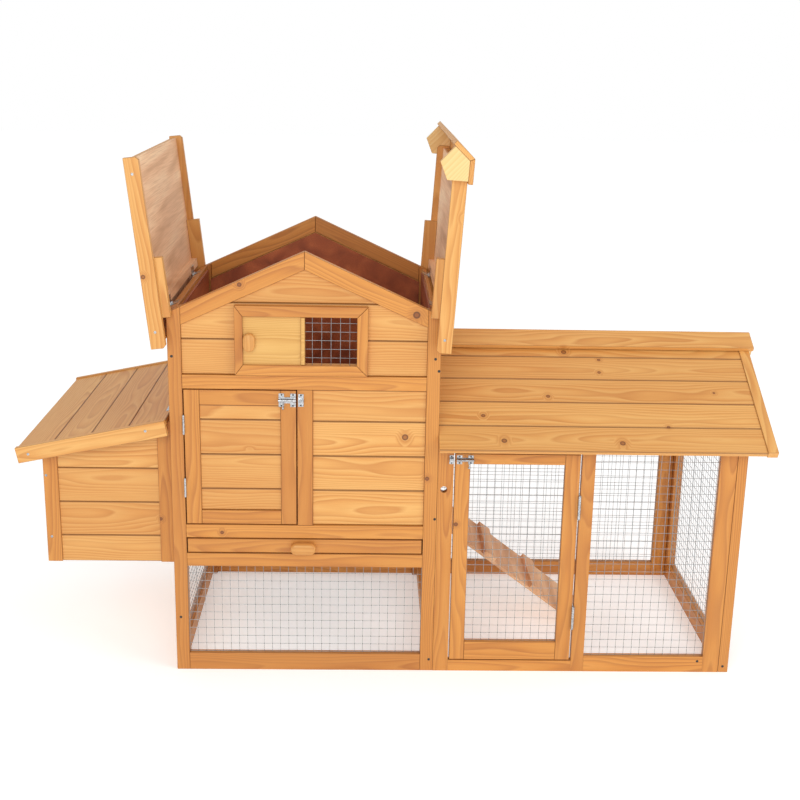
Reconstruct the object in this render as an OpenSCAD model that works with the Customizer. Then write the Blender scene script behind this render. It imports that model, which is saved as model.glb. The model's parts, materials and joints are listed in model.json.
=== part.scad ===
// Timber chicken coop: a house on legs with a pull-out tray and an opening roof, a nest box
// on its left wall and a covered wire run on its right. Millimetres, +Z up, front towards -Y.
// The origin is under the middle of the whole coop, on the ground.
// Inside the modules X runs from the left face of the house and Y from its front face.

/* [House] */
// Width of the house across its posts
house_w = 700; // [580:1:850]
// Depth of the house and of the run, front to back
house_d = 680; // [565:1:820]
// Height of the house posts at their outer faces
eave_h = 997; // [960:1:1200]
// Slope of the house roof in degrees
roof_pitch = 24.7; // [20:0.1:30]
// Side of a square house post
post = 35; // [29:0.5:42]
// Thickness of the house rails, front to back
rail_t = 20; // [17:0.5:24]
// Height of the house rails
rail_h = 37; // [31:0.5:44]
// Height of the rail that stands on the ground
base_rail_h = 50; // [40:1:60]
// Height from the ground to the rails that carry the tray
floor_h = 306; // [255:1:340]
// Plumb depth of the raking gable boards
rafter_h = 46.5; // [38:0.5:56]
// Height of the board that caps each side wall
plate_h = 45; // [38:1:54]

/* [Boards] */
// Thickness of the tongued boards
board_t = 12; // [10:0.5:14]
// Width that each tongued board covers
board_cover = 95; // [79:1:114]
// Thickness of the plywood lining
ply_t = 5; // [4:0.5:6]

/* [House door] */
// Width of the house door
door_w = 290; // [242:1:320]
// Height of the house door
door_h = 368; // [307:1:400]
// Thickness of the house door's frame
door_t = 18; // [15:0.5:21]
// Width of the door's stiles and rails
door_stile = 40; // [33:1:48]
// Width of the stile that the house door closes against
centre_stile = 40; // [33:1:48]
// Gap round the house door
door_gap = 2.9; // [2.9:0.1:3.5]

/* [Window] */
// Distance from the left face of the house to the window frame
window_x = 172; // [150:1:200]
// Width of the window frame
window_w = 340; // [300:1:350]
// Height of the window frame
window_h = 182; // [160:1:190]
// Width of the window frame's members
window_bar = 28; // [23:0.5:32]
// Thickness of the sliding shutter
shutter_t = 6; // [5:0.5:7]
// Width of the shutter board
shutter_w = 148; // [130:1:155]

/* [Tray] */
// Height of the tray's front board
tray_front_h = 38; // [32:1:45]
// Gap above and below the tray's front board
tray_gap = 3.5; // [3:0.1:4.2]

/* [Roof panels] */
// How far the left panel reaches past the ridge
left_past = 2.5; // [0:0.5:3.5]
// Length of the left panel below its hinge
left_down = 83; // [70:1:100]
// How far the right panel stops short of the ridge
right_short = 6.4; // [4.4:0.1:16]
// Length of the right panel below its hinge
right_down = 93; // [78:1:110]
// How far the open left panel leans past upright, in degrees
left_lean = 6.3; // [0:0.1:10]
// How far the open right panel leans past upright, in degrees
right_lean = 3.5; // [0:0.1:10]
// Depth of the boards along the front and back edges of the panels
barge_h = 38; // [36:0.5:45]
// How far the panels reach past the front and the back of the house
overhang = 35; // [33:1:42]
// Width of each ridge cap board
cap_w = 57; // [50:1:68]

/* [Nest box] */
// How far the nest box stands out from the house
nest_w = 340; // [284:1:408]
// Height of the nest box's outer wall
nest_h = 328; // [274:1:390]
// Slope of the nest box lid in degrees
lid_pitch = 11.5; // [9.6:0.1:13.8]
// How far the lid reaches past the outer wall
lid_overhang = 55; // [46:1:66]
// How far the nest box is set in from the front and the back of the house
nest_inset = 25; // [21:1:30]

/* [Run] */
// Length of the run along the front, up to its end frame
run_l = 792; // [740:1:950]
// Height of the run's front and back frames
run_h = 667; // [650:1:800]
// Slope of the run roof in degrees
run_pitch = 29.6; // [25:0.1:33]
// Width of the run door
run_door_w = 331.5; // [290:0.5:370]
// Thickness of the run's frames
run_t = 20; // [17:0.5:24]
// Thickness of the run's end frame
end_t = 27; // [22:0.5:32]
// Height of the run's bottom rails
run_base_h = 46; // [40:1:55]
// Spacing of the wires
wire_pitch = 45; // [37.5:0.5:54]
// Thickness of the wire
wire = 1.2; // [1:0.1:2]
// Slope of the ramp in degrees
ramp_pitch = 37; // [34:0.5:40]
// Width of the ramp
ramp_w = 235; // [196:1:280]

/* [Hardware] */
// Length of the house door's butt hinges
hinge_l = 51; // [42:1:61]
// Length of the run door's butt hinges
run_hinge_l = 67; // [56:1:80]
// Radius of the hinge knuckles
knuckle_r = 3; // [2.8:0.1:3.6]
// Radius of the hinge pins
pin_r = 1.5; // [1.2:0.1:1.8]
// Thickness of the hinge leaves
leaf_t = 1.2; // [1:0.1:1.2]
// Radius of the bolt rods
bolt_r = 3; // [2.5:0.1:3.6]

/* [Hidden] */
$fn = 48;
fir = "#E1A055";
pale_fir = "#E2BE74";
red_ply = "#7C2E17";
tan_ply = "#CC9A6C";
zinc = "#B9BDC2";
dark_steel = "#4A4A48";
run_fit = 0.05;   // radial clearance of a turning or sliding rod
gap = 0.3;        // clearance between faces that move past each other
hair = 0.2;       // hairline between timbers that meet
chamfer = 2;      // along the face edges of the tongued boards
tongue = 4;
first_board = 94;  // the lowest board of a wall shows this much
nest_first_board = 75;
hinge_in = 90;     // from the front or back wall to the nearest roof or lid hinge
wide_leaf = 24;    // leaves of the roof and run door hinges
lid_leaf = 20;
plate_t = rail_t + 4;
rail_rise = 16;   // thickness of the rails under the roof panels
barge_t = 16;
batten_t = 18;
batten_l = 145;
batten_out = 20;  // the battens stand this far past the barge boards
barge_past = 6;   // and the barge boards this far past the upper edge of the panel

// levels of the house front, from the ground up
tray_rail_z = floor_h;
tray_z = tray_rail_z + rail_h + tray_gap;
low_rail_z = tray_z + tray_front_h + tray_gap;
door_z = low_rail_z + rail_h + door_gap;
mid_rail_z = door_z + door_h + door_gap;
gable_z = mid_rail_z + rail_h;
wall_z = tray_rail_z + rail_h;
function roof_z(x) = eave_h + x * tan(roof_pitch);   // roof plane, x in from either side
ridge_z = roof_z(house_w / 2);

// places across the house front
door_x = post + door_gap;
stile_x = door_x + door_w + door_gap;
panel_x = stile_x + centre_stile;
inner_w = house_w - 2 * post;
inner_d = house_d - 2 * post;
board_y = 6;      // the front boards lie this far behind the face of the posts

// window
window_z = gable_z + 2;
window_left_bar = window_bar * 3 / 4;
lip_t = 7;
frame_y = -10;    // front of the window frame
shutter_y = frame_y + lip_t + gap;
shutter_lap = 6;
glass_x = window_x + window_left_bar;
glass_w = window_w - window_left_bar - window_bar;
glass_z = window_z + window_bar;
glass_h = window_h - 2 * window_bar;
strip_w = 10;
wire_x = glass_x + shutter_w + strip_w;

// roof panels, drawn closed and then opened about their pins
left_pin_x = -6.6;
right_pin_in = 8;
leaf_gap = 2 * leaf_t + 0.5;
pin_rise = leaf_gap / 2;                 // the pins stand this far above the roof plane
left_pin_z = roof_z(left_pin_x) + pin_rise / cos(roof_pitch);
right_pin_z = roof_z(right_pin_in) + pin_rise / cos(roof_pitch);
left_up = (house_w / 2 - left_pin_x) / cos(roof_pitch) + left_past;
right_up = (house_w / 2 - right_pin_in) / cos(roof_pitch) - right_short;
panel_under = pin_rise + 0.1;            // underside of the rail over the hinge
ply_z = panel_under + rail_rise;
panel_board_t = board_t + 3;
panel_top = ply_z + ply_t + panel_board_t;
barge_z = panel_top - barge_h;
panel_y0 = -overhang + barge_t;
panel_d = house_d - 2 * panel_y0;
ridge_x = house_w / 2;
cap_t = 12;
cap_s = (ridge_x - right_pin_in + panel_top * sin(roof_pitch)) / cos(roof_pitch);
cap_z = right_pin_z + cap_s * sin(roof_pitch) + panel_top * cos(roof_pitch) + 0.4;
block_t = 18;
run_block_t = 12;
run_cap_w = 60;
block_side = 50;
block_drop = 52;

// nest box
nest_z = floor_h;
nest_post = 38;
nest_frame_t = 18;
nest_y0 = nest_inset;
nest_y1 = house_d - nest_inset;
lid_x1 = -8;
lid_x0 = -nest_w - lid_overhang;
function lid_under(x) = nest_z + nest_h + (x + nest_w) * tan(lid_pitch);
lid_barge_t = 16;
lid_over = 20;
lid_proud = 4;      // the lid's edge boards stand this far above its boards
nest_top_rail = 26;
lid_len = (lid_x1 - lid_x0) / cos(lid_pitch);
lid_pin_x = -knuckle_r - 0.3;
lid_pin_z = lid_under(lid_x1) + board_t / cos(lid_pitch) + knuckle_r;
divider_y = house_d / 2;

// run
run_x = house_w + gap;
run_post = 41.5;
run_right_post = 44;
end_x = house_w + run_l + 2;
run_x1 = end_x - 1;
run_gap = 2 * leaf_t + 2.6;
run_door_x = run_x + run_post + 3.5;
run_stile_x = run_door_x + run_door_w + run_gap;
run_stile = 35;
bay_x = run_stile_x + run_stile;
bay_x1 = run_x1 - run_right_post;
run_sill_h = 32;
run_door_z = run_sill_h + 3;
run_top_rail = 34;
run_door_top = run_h - run_top_rail - 3;
run_door_h = run_door_top - run_door_z;
run_bottom_rail = 53;
run_head_rail = 28.5;
roof_y0 = -40;
roof_x1 = end_x + end_t + 36;
end_strip = 28;
roof_board_cover = 89;
run_slope = (house_d / 2 - roof_y0) / cos(run_pitch);
function run_under(y) = run_h + y * tan(run_pitch);   // underside of the roof boards
run_ridge_z = run_under(house_d / 2);
run_rafter = 40;
run_hinge_r = 4;
hole_r = 9;
hole_in = 17;     // from the post's edge to the middle of its hole
hole_z = 530;

// ramp and pop hole
ramp_t = 8;
ramp_y = 268;
ramp_top_z = wall_z + 10;
side_board_in = board_y - 2;   // how far the side boards lie behind the face of the posts
ramp_x = house_w - side_board_in + gap;
cleat = 12;
cleat_w = 40;
cleat_start = 21;
cleat_pitch = 175;
cleat_gap = 0.05; // hairline under each cleat
pop_z = low_rail_z + 6;
pop_h = 250;
pop_w = ramp_w + 15;
pop_y = ramp_y - 10;
nest_hole_w = 240;
nest_hole_h = 170;
nest_hole_z = low_rail_z + 12;
nest_hole_in = 20;   // from the middle of the wall to each nest hole
nest_hole_y = [house_d / 2 - nest_hole_in - nest_hole_w, house_d / 2 + nest_hole_in];

// the whole coop, for the origin
coop_x0 = lid_x0 - (board_t + lid_proud) * sin(lid_pitch);
coop_x1 = roof_x1 + end_strip + run_block_t;
mid_x = (coop_x0 + coop_x1) / 2;
mid_y = house_d / 2;

// ---- shared shapes ----

// moves a sub-part from the house corner to the coop's own origin
module placed() translate([-mid_x, -mid_y, 0]) children();

// a box from one corner to the opposite one
module span(a, b) translate(a) cube(b - a);

// an outline in X and Z, carried back from y0 to y1
module upright(y0, y1, points)
    translate([0, y1, 0]) rotate([90, 0, 0]) linear_extrude(y1 - y0) polygon(points);

// the cross-section of one tongued board: face towards -X of the outline, stacked along its Y
function board_outline(t, w, first, last) = concat(
    [[chamfer, 0]],
    first ? [[t, 0]] : [
        [t / 3, 0], [t / 3, tongue + gap], [2 * t / 3, tongue + gap], [2 * t / 3, 0], [t, 0]
    ],
    last ? [[t, w]] : [
        [t, w - hair], [2 * t / 3 - hair, w - hair], [2 * t / 3 - hair, w + tongue],
        [t / 3 + hair, w + tongue], [t / 3 + hair, w - hair]
    ],
    [[chamfer, w - hair], [0, w - hair - chamfer], [0, chamfer]]
);

// a wall of tongued boards: lengths along +X, stacked along +Z, faces towards -Y
module board_wall(length, height, first, cover, t) {
    count = 1 + ceil((height - first) / cover - 0.25);
    for (k = [0 : count - 1]) {
        z0 = k == 0 ? 0 : first + (k - 1) * cover;
        z1 = k == count - 1 ? height : first + k * cover;
        translate([0, 0, z0]) rotate([90, 0, 90])
            linear_extrude(length) polygon(board_outline(t, z1 - z0, k == 0, k == count - 1));
    }
}

// turns what faces -Y so that it faces -X or +X, running front to back
module facing_left() translate([0, house_d, 0]) rotate([0, 0, -90]) children();
module facing_right() rotate([0, 0, 90]) children();

// a flat welded grille in X and Z that fills w by h, its wires along +Y
module grille(w, h, pitch) {
    nx = round(w / pitch);
    nz = round(h / pitch);
    rotate([90, 0, 0]) translate([0, 0, -wire]) linear_extrude(wire) difference() {
        square([w, h]);
        for (i = [0 : nx - 1], j = [0 : nz - 1])
            translate([wire + i * (w - wire) / nx, wire + j * (h - wire) / nz])
                square([(w - wire) / nx - wire, (h - wire) / nz - wire]);
    }
}

// a screw head, its axis along -Y
module screw_head(r) rotate([90, 0, 0]) cylinder(r1 = r, r2 = r * 0.7, h = 0.8);

// one leaf of a butt hinge: pin along Z at the origin, leaf towards +Y on one side of the gap;
// the knuckles of the fixed leaf are at the ends and that of the turning leaf in the middle
module hinge_leaf(l, r, width, space, fixed) {
    third = l / 3;
    runs = fixed ? [[0, third], [2 * third, l]] : [[third + gap, 2 * third - gap]];
    x0 = fixed ? -space / 2 : space / 2 - leaf_t;
    difference() {
        union() {
            span([x0, r + 0.4, 0], [x0 + leaf_t, width, l]);
            for (z = runs) {
                translate([0, 0, z[0]]) cylinder(r = r, h = z[1] - z[0]);
                span([x0, 0, z[0]], [x0 + leaf_t, r + 0.5, z[1]]);
            }
        }
        translate([0, 0, -1]) cylinder(r = pin_r + run_fit, h = l + 2);
    }
}
module hinge_pin(l) translate([0, 0, -1]) cylinder(r = pin_r, h = l + 2);

// ---- house ----

module house_posts() color(fir) placed() for (y = [0, house_d - post]) {
    upright(y, y + post, [[0, 0], [post, 0], [post, roof_z(post)], [0, eave_h]]);
    upright(y, y + post, [
        [house_w - post, 0], [house_w, 0], [house_w, eave_h], [house_w - post, roof_z(post)]
    ]);
}

module cross_rail(y, z, h) span([post, y, z], [house_w - post, y + rail_t, z + h]);

module house_cross_rails() color(fir) placed() {
    for (y = [0, house_d - rail_t]) {
        cross_rail(y, 0, base_rail_h);
        cross_rail(y, tray_rail_z, rail_h);
        cross_rail(y, mid_rail_z, rail_h);
    }
    cross_rail(0, low_rail_z, rail_h);
    span([stile_x, 0, low_rail_z + rail_h + hair], [panel_x, rail_t, mid_rail_z - hair]);
}

module side_rail(z, h) span([0, post, z], [rail_t, house_d - post, z + h]);

// the rails of a side wall on the left: bottom rail, tray rail and the runner that the tray slides on
module side_wall_rails() {
    side_rail(0, base_rail_h);
    side_rail(tray_rail_z, rail_h);
    span([rail_t + hair, post, tray_rail_z], [post + 20, house_d - post, wall_z]);
}

// the plate at the top of a side wall; a relief of this depth clears the knuckles over its edge
module plate(relief_w, relief) upright(post, house_d - post, [
    [0, eave_h - plate_h], [plate_t, eave_h - plate_h], [plate_t, roof_z(plate_t)],
    [relief_w, roof_z(relief_w)], [relief_w, roof_z(relief_w) - relief], [0, eave_h - relief]
]);

module house_side_rails() color(fir) placed() {
    side_wall_rails();
    upright(post, house_d - post, [
        [0, eave_h - plate_h], [plate_t, eave_h - plate_h], [plate_t, roof_z(plate_t)], [0, eave_h]
    ]);
    translate([house_w, 0, 0]) mirror([1, 0, 0]) {
        side_wall_rails();
        plate(right_pin_in + knuckle_r + 1, (knuckle_r - pin_rise + gap) / cos(roof_pitch));
    }
}

module left_rafter(y) {
    top_x = house_w / 2 - hair;
    upright(y, y + rail_t, [
        [post, roof_z(post) - rafter_h], [top_x, roof_z(top_x) - rafter_h],
        [top_x, roof_z(top_x)], [post, roof_z(post)]
    ]);
}

module rafters(y) {
    left_rafter(y);
    translate([house_w, 0, 0]) mirror([1, 0, 0]) left_rafter(y);
}

module gable_rafters() color(fir) placed() {
    difference() {
        rafters(0);
        // room for the window frame where a low roof comes down to it
        span([window_x - gap, -1, window_z - gap],
            [window_x + window_w + gap, board_y + gap, window_z + window_h + gap]);
    }
    rafters(house_d - rail_t);
}

// the outline under the rafters, from a level up
function gable_outline(z) = [
    [post, z], [house_w - post, z], [house_w - post, roof_z(post) - rafter_h],
    [house_w / 2, ridge_z - rafter_h], [post, roof_z(post) - rafter_h]
];

module front_wall_boards() color(fir) placed() {
    difference() {
        intersection() {
            translate([post, board_y, gable_z])
                board_wall(inner_w, ridge_z - gable_z, first_board, board_cover, board_t);
            upright(0, rail_t, gable_outline(gable_z));
        }
        span([wire_x, 0, glass_z], [glass_x + glass_w, rail_t, glass_z + glass_h]);
    }
    translate([panel_x, board_y, low_rail_z + rail_h])
        board_wall(house_w - post - panel_x, mid_rail_z - low_rail_z - rail_h, 98, board_cover, board_t);
}

module back_wall_boards() color(fir) placed() translate([house_w, house_d, 0]) rotate([0, 0, 180]) {
    translate([post, board_y, wall_z])
        board_wall(inner_w, mid_rail_z - wall_z, first_board, board_cover, board_t);
    intersection() {
        translate([post, board_y, gable_z])
            board_wall(inner_w, ridge_z - gable_z, first_board, board_cover, board_t);
        upright(0, rail_t, gable_outline(gable_z));
    }
}

side_wall_h = eave_h - plate_h - wall_z;

module left_wall_boards() color(fir) placed() difference() {
    facing_left() translate([post, 0, wall_z])
        board_wall(inner_d, side_wall_h, first_board, board_cover, board_t);
    for (y = nest_hole_y)
        span([0, y, nest_hole_z], [rail_t, y + nest_hole_w, nest_hole_z + nest_hole_h]);
}

module right_wall_boards() color(fir) placed() difference() {
    translate([house_w, 0, 0]) facing_right() translate([post, side_board_in, wall_z])
        board_wall(inner_d, side_wall_h, first_board, board_cover, board_t);
    span([house_w - rail_t, pop_y, pop_z], [house_w, pop_y + pop_w, pop_z + pop_h]);
}

lining_y = house_d - post - ply_t;
lining_z = tray_z + tray_front_h + 6;

module wall_lining() color(red_ply) placed() {
    upright(lining_y, lining_y + ply_t, gable_outline(lining_z));
    difference() {
        span([plate_t, post, lining_z], [plate_t + ply_t, lining_y, eave_h - 2]);
        for (y = nest_hole_y)
            span([0, y, nest_hole_z], [post, y + nest_hole_w, nest_hole_z + nest_hole_h]);
    }
    difference() {
        span([house_w - plate_t - ply_t, post, lining_z], [house_w - plate_t, lining_y, eave_h - 2]);
        span([house_w - post, pop_y, pop_z], [house_w, pop_y + pop_w, pop_z + pop_h]);
    }
}

perch_y = 510;
perch_z = 470;
perch = 28;

module roosting_perch() color(fir) placed() {
    in = plate_t + ply_t;
    span([in, perch_y, perch_z], [house_w - in, perch_y + perch, perch_z + perch]);
}

// ---- window ----

// one mitred member of the window frame: a board with a lip that holds the shutter in
module window_member(outline_front, outline_back) {
    upright(frame_y, frame_y + lip_t, outline_front);
    upright(frame_y + lip_t, board_y, outline_back);
}

// corners of a rectangle set in by its four margins: left, right, bottom, top
function corners(l, r, b, t) = [
    [window_x + l, window_z + b], [window_x + window_w - r, window_z + b],
    [window_x + window_w - r, window_z + window_h - t], [window_x + l, window_z + window_h - t]
];

module window_frame() color(fir) placed() {
    outer = corners(0, 0, 0, 0);
    lip = corners(window_left_bar, window_bar, window_bar, window_bar);
    // the groove behind the lip takes the same share of every member, so the mitres stay straight
    share = 1 - (shutter_lap + 1) / window_bar;
    back_bar = window_bar * share;
    back = corners(window_left_bar * share, back_bar, back_bar, back_bar);
    for (k = [0 : 3]) {
        n = (k + 1) % 4;
        way = hair * (outer[n] - outer[k]) / norm(outer[n] - outer[k]);
        window_member(
            [outer[k] + way, outer[n] - way, lip[n] - way, lip[k] + way],
            [outer[k] + way, outer[n] - way, back[n] - way, back[k] + way]
        );
    }
}

module window_mesh() color(zinc) placed()
    translate([wire_x - shutter_lap, board_y - wire, glass_z - shutter_lap])
        grille(glass_x + glass_w - wire_x + 2 * shutter_lap, glass_h + 2 * shutter_lap, wire_pitch / 2);

module window_shutter() color(pale_fir) placed() {
    span([glass_x - shutter_lap + 1, shutter_y, glass_z - shutter_lap],
        [wire_x, shutter_y + shutter_t, glass_z + glass_h + shutter_lap]);
    span([wire_x - strip_w, shutter_y - 4, glass_z + 1], [wire_x, shutter_y, glass_z + glass_h - 1]);
}

knob_w = 30;
knob_h = 47;
knob_t = 16;

// an oval wooden knob: two round ends joined, its flat back at y = 0
module oval_knob(w, h, t) rotate([90, 0, 0]) hull()
    for (z = [-1, 1]) translate([0, z * (h - w) / 2, 0]) {
        cylinder(r = w / 2 - 3, h = t, $fn = 32);
        translate([0, 0, 2]) cylinder(r = w / 2, h = t - 6, $fn = 32);
    }

module shutter_knob() color(fir) placed()
    translate([glass_x + knob_w / 2 + 1, shutter_y, glass_z + glass_h / 2 - 4])
        oval_knob(knob_w, knob_h, knob_t);

// ---- mesh under the house ----

module lower_mesh_panels() color(zinc) placed() {
    h = tray_rail_z - base_rail_h;
    for (y = [rail_t / 2, house_d - rail_t / 2 - wire])
        translate([post, y, base_rail_h]) grille(inner_w, h, wire_pitch);
    facing_left() translate([post, rail_t / 2, base_rail_h]) grille(inner_d, h, wire_pitch);
}

// ---- tray ----

module tray_front() color(fir) placed()
    span([post + 3, 0, tray_z], [house_w - post - 3, board_t, tray_z + tray_front_h]);

module tray_pan() color(zinc) placed() {
    wall = 2;
    y0 = board_t;
    y1 = lining_y - 25;
    difference() {
        span([post + 6, y0, wall_z + gap], [house_w - post - 6, y1, tray_z + tray_front_h - 4]);
        span([post + 6 + wall, y0 + wall, wall_z + gap + wall],
            [house_w - post - 6 - wall, y1 - wall, tray_z + tray_front_h]);
    }
}

handle_w = 67;
handle_h = 30;
handle_t = 22;

module tray_handle() color(fir) placed()
    translate([house_w / 2 - 4, 0, tray_z + tray_front_h / 2 - 3]) rotate([0, 90, 0])
        oval_knob(handle_h, handle_w, handle_t);

// ---- nest box ----

module nest_end(y) {
    // a post at each side and tongued boards between them, cut to the slope of the lid
    x0 = -nest_w + nest_post;
    x1 = -nest_post;
    outside = y < mid_y;
    intersection() {
        translate([x0, y + (outside ? 4 : nest_frame_t - 4), nest_z])
            mirror([0, outside ? 0 : 1, 0])
                board_wall(x1 - x0, lid_under(x1) - nest_z, nest_first_board, board_cover, board_t);
        upright(y, y + nest_frame_t, [
            [x0, nest_z], [x1, nest_z], [x1, lid_under(x1) - nest_top_rail - hair],
            [x0, lid_under(x0) - nest_top_rail - hair]
        ]);
    }
}

module nest_box_posts() color(fir) placed() for (y = [nest_y0, nest_y1 - nest_frame_t]) {
    for (x = [-nest_w, -nest_post])
        upright(y, y + nest_frame_t, [
            [x, nest_z], [x + nest_post, nest_z],
            [x + nest_post, lid_under(x + nest_post) - gap], [x, lid_under(x) - gap]
        ]);
    // the sloping rail under the lid
    x0 = -nest_w + nest_post + hair;
    x1 = -nest_post - hair;
    upright(y, y + nest_frame_t, [
        [x0, lid_under(x0) - nest_top_rail], [x1, lid_under(x1) - nest_top_rail],
        [x1, lid_under(x1) - gap], [x0, lid_under(x0) - gap]
    ]);
}

module nest_box_boards() color(fir) placed() {
    nest_end(nest_y0);
    nest_end(nest_y1 - nest_frame_t);
    facing_left() translate([house_d - nest_y1 + nest_frame_t, -nest_w, nest_z])
        board_wall(nest_y1 - nest_y0 - 2 * nest_frame_t, nest_h - 1, nest_first_board, board_cover, board_t);
}

module nest_box_floor() color(tan_ply) placed()
    span([-nest_w + board_t, nest_y0 + nest_frame_t, nest_z], [0, nest_y1 - nest_frame_t, nest_z + 9]);

module nest_box_divider() color(tan_ply) placed()
    upright(divider_y - 4.5, divider_y + 4.5, [
        [-nest_w + board_t, nest_z + 9], [0, nest_z + 9], [0, nest_z + nest_h - 80],
        [-nest_w + board_t, nest_z + nest_h - 80]
    ]);

// lays what is drawn in X and Y on the lid's slope: X up the slope from its low edge
module on_lid() translate([lid_x0, 0, lid_under(lid_x0)]) rotate([0, -lid_pitch, 0]) children();

module nest_lid_boards() color(fir) placed() on_lid() {
    n = 4;
    w = lid_len / n;
    for (k = [0 : n - 1])
        translate([(k + 1) * w, -lid_over + lid_barge_t, board_t]) rotate([-90, 90, 0])
            linear_extrude(house_d + 2 * lid_over - 2 * lid_barge_t)
                polygon(board_outline(board_t, w, k == n - 1, k == 0));
}

module nest_lid_frame() color(fir) placed() on_lid() {
    for (y = [-lid_over, house_d + lid_over - lid_barge_t])
        span([0, y, board_t - barge_h], [lid_len, y + lid_barge_t, board_t + lid_proud]);
    // battens under the boards
    for (y = [nest_y0 + nest_frame_t + 6, nest_y1 - nest_frame_t - 36])
        span([lid_overhang + 30, y, -16], [lid_len - 30, y + 30, 0]);
}

// ---- run ----

module run_front_frame() color(fir) placed() {
    difference() {
        span([run_x, 0, 0], [run_x + run_post, run_t, run_h]);
        translate([run_x + hole_in, -1, hole_z]) rotate([-90, 0, 0]) cylinder(r = hole_r, h = run_t + 2);
    }
    span([run_stile_x, 0, 0], [bay_x, run_t, run_h - run_top_rail - hair]);
    span([bay_x1, 0, 0], [run_x1, run_t, run_h]);
    span([run_x + run_post + hair, 0, 0], [run_stile_x - hair, run_t, run_sill_h]);
    span([bay_x + hair, 0, 0], [bay_x1 - hair, run_t, run_base_h]);
    span([run_x + run_post + hair, 0, run_h - run_top_rail], [bay_x1 - hair, run_t, run_h]);
}

back_x = run_x + run_post;   // the back of the run is a single bay up to its right post

module run_back_frame() color(fir) placed() translate([0, house_d - run_t, 0]) {
    span([run_x, 0, 0], [back_x, run_t, run_h]);
    span([bay_x1, 0, 0], [run_x1, run_t, run_h]);
    for (z = [[0, run_base_h], [run_h - run_top_rail, run_h]])
        span([back_x + hair, 0, z[0]], [bay_x1 - hair, run_t, z[1]]);
}

module run_end_frame() color(fir) placed() {
    for (y = [0, house_d - run_post])
        span([end_x, y, 0], [end_x + end_t, y + run_post, run_h]);
    for (z = [[0, run_base_h + 2], [run_h - run_top_rail, run_h]])
        span([end_x, run_post + hair, z[0]], [end_x + end_t, house_d - run_post - hair, z[1]]);
}

module run_front_mesh() color(zinc) placed()
    translate([bay_x, run_t / 2, run_base_h])
        grille(bay_x1 - bay_x, run_h - run_top_rail - run_base_h, wire_pitch);

// corners of the triangle between the end rafters, each edge moved in by this much
function end_triangle(inset) =
    let (
        z = run_h + inset,
        rise = (run_rafter + inset) / cos(run_pitch),
        y = (inset + rise) / tan(run_pitch)
    )
    [[y, z], [house_d - y, z], [house_d / 2, run_ridge_z - rise]];

module run_end_mesh() color(zinc) placed()
    translate([end_x + end_t, 0, 0]) facing_right() {
        translate([run_post, end_t / 2, run_base_h + 2])
            grille(house_d - 2 * run_post, run_h - run_top_rail - run_base_h - 2, wire_pitch);
        // the triangle under the run roof, with a wire along each of its edges
        intersection() {
            translate([run_rafter, end_t / 2, run_h])
                grille(house_d - 2 * run_rafter, run_ridge_z - run_h, wire_pitch);
            upright(0, end_t, end_triangle(0));
        }
        translate([0, end_t / 2 - wire, 0]) difference() {
            upright(0, wire, end_triangle(0));
            upright(-1, wire + 1, end_triangle(wire));
        }
    }

module run_back_mesh() color(zinc) placed()
    translate([back_x, house_d - run_t / 2 - wire, run_base_h])
        grille(bay_x1 - back_x, run_h - run_top_rail - run_base_h, wire_pitch);

// a pair of rafters under the run roof, t thick from x
module rafter_pair(x, t) translate([x + t, 0, 0]) facing_right() for (side = [0, 1])
    translate([side * house_d, 0, 0]) mirror([side, 0, 0]) upright(0, t, [
        [0, run_h], [run_rafter / sin(run_pitch), run_h],
        [house_d / 2 - hair, run_under(house_d / 2 - hair) - run_rafter / cos(run_pitch)],
        [house_d / 2 - hair, run_under(house_d / 2 - hair)]
    ]);

module run_rafters() color(fir) placed() {
    rafter_pair(run_x, 20);
    rafter_pair(run_stile_x + 8, 20);
    rafter_pair(end_x, end_t);
}

// lays what is drawn in X and Y on the front slope of the run roof, Y up the slope
module on_run_roof() translate([0, roof_y0, run_under(roof_y0)]) rotate([run_pitch, 0, 0]) children();

// the front slope and its mirror image at the back
module both_slopes() for (side = [0, 1])
    translate([0, side * house_d, 0]) mirror([0, side, 0]) children();

module run_roof_boards() color(fir) placed() both_slopes() on_run_roof() {
    n = 5;
    for (k = [0 : n - 1]) {
        y1 = k == n - 1 ? run_slope - 10 : (k + 1) * roof_board_cover;
        y0 = k * roof_board_cover;
        translate([run_x, y0, board_t]) rotate([0, 90, 0])
            linear_extrude(roof_x1 - run_x)
                polygon(board_outline(board_t, y1 - y0, k == 0, k == n - 1));
    }
}

module run_roof_end_strips() color(fir) placed() both_slopes() on_run_roof()
    span([roof_x1, 0, -4], [roof_x1 + end_strip, run_slope - 10, board_t + 3]);

// half of a ridge cap in X and Z: its board lies on the right-hand slope under the apex
module cap_half(w, pitch) polygon([
    [hair, -hair * tan(pitch)], [w * cos(pitch), -w * sin(pitch)],
    [w * cos(pitch) + cap_t * sin(pitch), -w * sin(pitch) + cap_t * cos(pitch)],
    [hair, cap_t / cos(pitch) - hair * tan(pitch)]
]);

// the block that fills the end of a ridge cap
module cap_block(side, drop, pitch) {
    right = [side * cos(pitch), -side * sin(pitch)];
    foot = right + drop * [-sin(pitch), -cos(pitch)];
    polygon([[0, 0], right, foot, [-foot[0], foot[1]], [-right[0], right[1]]]);
}

module run_ridge_cap() color(fir) placed()
    translate([run_x, house_d / 2, run_ridge_z + (board_t + 3) / cos(run_pitch) + gap])
        rotate([90, 0, 90]) {
            for (side = [0, 1]) mirror([side, 0, 0])
                linear_extrude(coop_x1 - run_x) cap_half(run_cap_w, run_pitch);
            translate([0, -hair, roof_x1 + end_strip - run_x + gap])
                linear_extrude(run_block_t - gap) cap_block(block_side, block_drop, run_pitch);
        }

module ramp_pose() translate([run_x, ramp_y, ramp_top_z]) rotate([0, ramp_pitch, 0]) children();

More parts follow.
